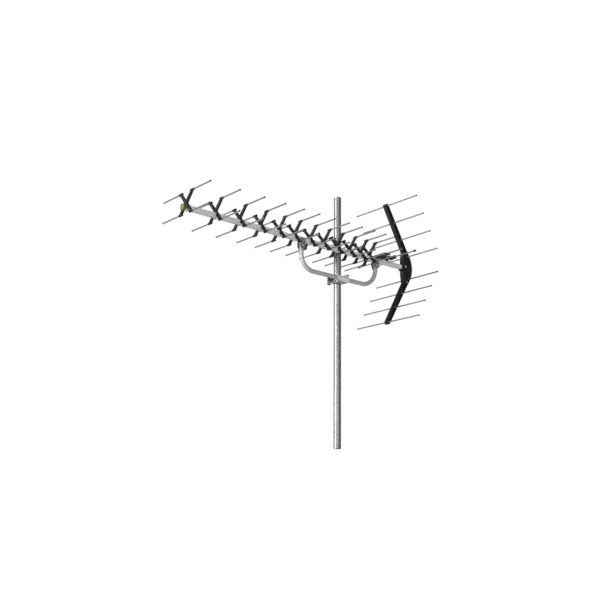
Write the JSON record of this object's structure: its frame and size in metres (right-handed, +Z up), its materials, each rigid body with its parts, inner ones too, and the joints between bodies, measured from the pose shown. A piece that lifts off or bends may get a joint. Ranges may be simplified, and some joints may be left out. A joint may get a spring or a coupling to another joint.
{
  "type": "uhf antenna",
  "caption": "UHF television antenna: square boom, X-shaped element holders, corner reflector and coaxial feed, clamped by a support arm to a short round mast it can turn on.",
  "frame": {"origin": "centre of the mast's lower end", "axes": "+Z up along the mast, +X along the boom towards the front directors, +Y from the mast towards the boom"},
  "size_m": [1.2545, 0.3794, 1.1319],
  "materials": {
    "galvanised_pipe": "dull zinc, faint spangle",
    "boom_aluminium": "drawn, satin",
    "arm_aluminium": "drawn, satin, slightly warm",
    "element_aluminium": "drawn, satin",
    "rivet_aluminium": "bright",
    "black_plastic": "moulded, fine grain",
    "black_housing_plastic": "moulded, fine grain",
    "black_cap_plastic": "soft, matt",
    "black_knob_plastic": "moulded, matt",
    "yellow_plastic": "soft, matt",
    "cheek_steel": "zinc plated",
    "clamp_steel": "olive passivated zinc",
    "bright_steel": "bright zinc plated",
    "nickel_plate": "satin nickel",
    "board_laminate": "laminate with solder resist",
    "contact_brass": "plain"
  },
  "bodies": {
    "mast": {"mast_pipe": "galvanised_pipe"},
    "antenna": {"arm_cheeks_front": "cheek_steel", "arm_cheeks_rear": "cheek_steel", "boom": "boom_aluminium", "boom_front_cap": "yellow_plastic", "cheek_bolts": "bright_steel", "cheek_rivets": "rivet_aluminium", "cheek_wing_nuts": "black_knob_plastic", "clamp_bolts": "bright_steel", "clamp_jaw": "clamp_steel", "clamp_keeper": "clamp_steel", "clamp_saddle": "clamp_steel", "clamp_wing_nuts": "bright_steel", "coax_connector": "nickel_plate", "coupling_rod": "element_aluminium", "director_holder_01": "black_plastic", "director_holder_02": "black_plastic", "director_holder_03": "black_plastic", "director_holder_04": "black_plastic", "director_holder_05": "black_plastic", "director_holder_06": "black_plastic", "director_holder_07": "black_plastic", "director_holder_08": "black_plastic", "director_holder_09": "black_plastic", "director_holder_10": "black_plastic", "director_holder_11": "black_plastic", "director_holder_12": "black_plastic", "director_rods_01": "element_aluminium", "director_rods_02": "element_aluminium", "director_rods_03": "element_aluminium", "director_rods_04": "element_aluminium", "director_rods_05": "element_aluminium", "director_rods_06": "element_aluminium", "director_rods_07": "element_aluminium", "director_rods_08": "element_aluminium", "director_rods_09": "element_aluminium", "director_rods_10": "element_aluminium", "director_rods_11": "element_aluminium", "director_rods_12": "element_aluminium", "driven_rod_caps": "black_cap_plastic", "driven_rods": "element_aluminium", "feed_board": "board_laminate", "feed_contacts": "contact_brass", "feed_cover": "black_housing_plastic", "feed_housing": "black_housing_plastic", "holder_rivets": "rivet_aluminium", "reflector_arm_lower": "black_plastic", "reflector_arm_upper": "black_plastic", "reflector_bolts": "bright_steel", "reflector_bracket": "black_plastic", "reflector_rod_1": "element_aluminium", "reflector_rod_2": "element_aluminium", "reflector_rod_3": "element_aluminium", "reflector_rod_4": "element_aluminium", "reflector_rod_5": "element_aluminium", "reflector_rod_6": "element_aluminium", "reflector_rod_7": "element_aluminium", "reflector_rod_8": "element_aluminium", "rod_end_caps": "black_cap_plastic", "support_arm": "arm_aluminium"}
  },
  "joints": [
    {"name": "aim_swivel", "type": "hinge", "parent": "mast", "child": "antenna", "pos_m": [0, 0, 0.723], "axis": [0, 0, 1], "continuous": true}
  ]
}
